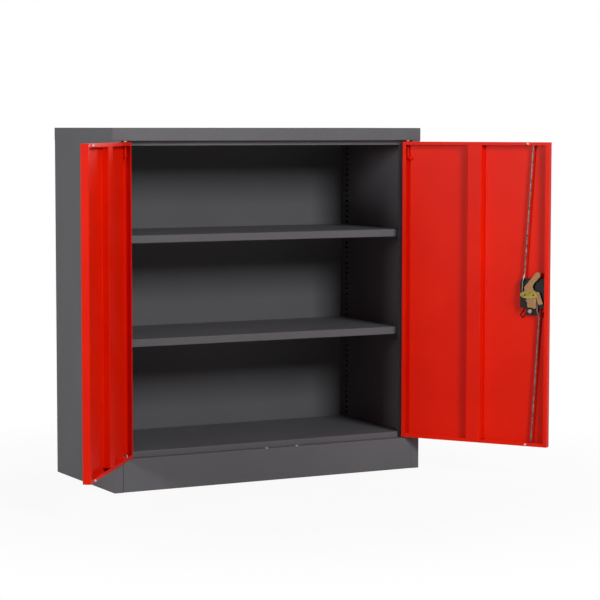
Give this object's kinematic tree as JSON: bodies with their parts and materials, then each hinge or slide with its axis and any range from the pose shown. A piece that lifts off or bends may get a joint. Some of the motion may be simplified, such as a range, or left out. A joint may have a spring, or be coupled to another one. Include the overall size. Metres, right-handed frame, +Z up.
{
  "type": "tool cabinet with doors",
  "caption": "Half-height steel tool cabinet with two inset swing doors, slotted side walls, adjustable shelves and a rod lock.",
  "frame": {"origin": "middle of the front face at floor level", "axes": "+X to the right along the front, +Y from the front to the back, +Z up"},
  "size_m": [1.335, 0.7528, 0.94],
  "materials": {
    "carcass_paint": "satin anthracite powder coat",
    "door_paint": "semi-gloss red powder coat",
    "zinc_plate": "bright zinc plated steel",
    "yellow_zinc": "yellow zinc passivated steel",
    "dark_steel": "dark oxidised steel",
    "black_wire": "black spring wire",
    "black_plastic": "moulded black nylon",
    "white_nylon": "moulded natural nylon"
  },
  "bodies": {
    "carcass": {"top_panel": "carcass_paint", "left_side_panel": "carcass_paint", "right_side_panel": "carcass_paint", "left_liner": "carcass_paint", "right_liner": "carcass_paint", "back_panel": "carcass_paint", "bottom_panel": "carcass_paint", "plinth": "carcass_paint", "upper_shelf": "carcass_paint", "lower_shelf": "carcass_paint", "shelf_clips": "zinc_plate", "back_screws": "zinc_plate", "door_rest_pads": "white_nylon", "upper_pivot_bushes": "white_nylon", "lower_pivot_bushes": "white_nylon"},
    "left_door": {"left_door_panel": "door_paint", "left_door_stiffener": "door_paint", "left_lower_pivot": "zinc_plate", "left_pin_guide": "door_paint", "left_door_buffers": "white_nylon"},
    "left_pin": {"left_upper_pin": "door_paint"},
    "right_door": {"right_door_panel": "door_paint", "right_door_stiffener": "door_paint", "right_lower_pivot": "zinc_plate", "right_pin_guide": "door_paint", "right_door_buffers": "white_nylon", "lock_housing": "black_plastic", "housing_clips": "black_wire", "housing_nut": "zinc_plate", "rod_guides": "black_plastic"},
    "right_pin": {"right_upper_pin": "door_paint"},
    "lock_handle": {"handle_dial": "black_plastic", "handle_spindle": "zinc_plate", "tongue_plate": "yellow_zinc", "rod_crossbar": "yellow_zinc", "crossbar_rivets": "dark_steel", "crank_pins": "yellow_zinc"},
    "lock_key_plug": {"key_plug": "zinc_plate"},
    "upper_lock_rod": {"upper_rod": "zinc_plate"},
    "lower_lock_rod": {"lower_rod": "zinc_plate"}
  },
  "joints": [
    {"name": "left_door_hinge", "type": "hinge", "parent": "carcass", "child": "left_door", "pos_m": [-0.4205, 0.0055, 0.497], "axis": [0, 0, -1], "range_deg": [-127.3, 1.7]},
    {"name": "right_door_hinge", "type": "hinge", "parent": "carcass", "child": "right_door", "pos_m": [0.4205, 0.0055, 0.497], "axis": [0, 0, 1], "range_deg": [-123.7, 5.3]},
    {"name": "left_pin_slide", "type": "slide", "parent": "left_door", "child": "left_pin", "axis": [0, 0, -1], "range_m": [0, 0.014], "stiffness_N_per_m": 150, "springref_m": -0.01},
    {"name": "right_pin_slide", "type": "slide", "parent": "right_door", "child": "right_pin", "axis": [0, 0, -1], "range_m": [0, 0.014], "stiffness_N_per_m": 150, "springref_m": -0.01},
    {"name": "handle_turn", "type": "hinge", "parent": "right_door", "child": "lock_handle", "pos_m": [0.62119, -0.30353, 0.497], "axis": [-0.832, -0.5548, 0], "range_deg": [-60, 0]},
    {"name": "key_turn", "type": "hinge", "parent": "lock_handle", "child": "lock_key_plug", "pos_m": [0.62119, -0.30353, 0.497], "axis": [-0.832, -0.5548, 0], "range_deg": [0, 90]},
    {"name": "upper_rod_slide", "type": "slide", "parent": "right_door", "child": "upper_lock_rod", "axis": [0.0357, -0.0535, 0.9979], "range_m": [0, 0.02035]},
    {"name": "lower_rod_slide", "type": "slide", "parent": "right_door", "child": "lower_lock_rod", "axis": [-0.0329, 0.0493, -0.9982], "range_m": [0, 0.02035]}
  ],
  "couplings": [
    {"joint": "upper_rod_slide", "follows": "handle_turn", "m_per_rad": -0.01924},
    {"joint": "lower_rod_slide", "follows": "handle_turn", "m_per_rad": -0.01924}
  ]
}
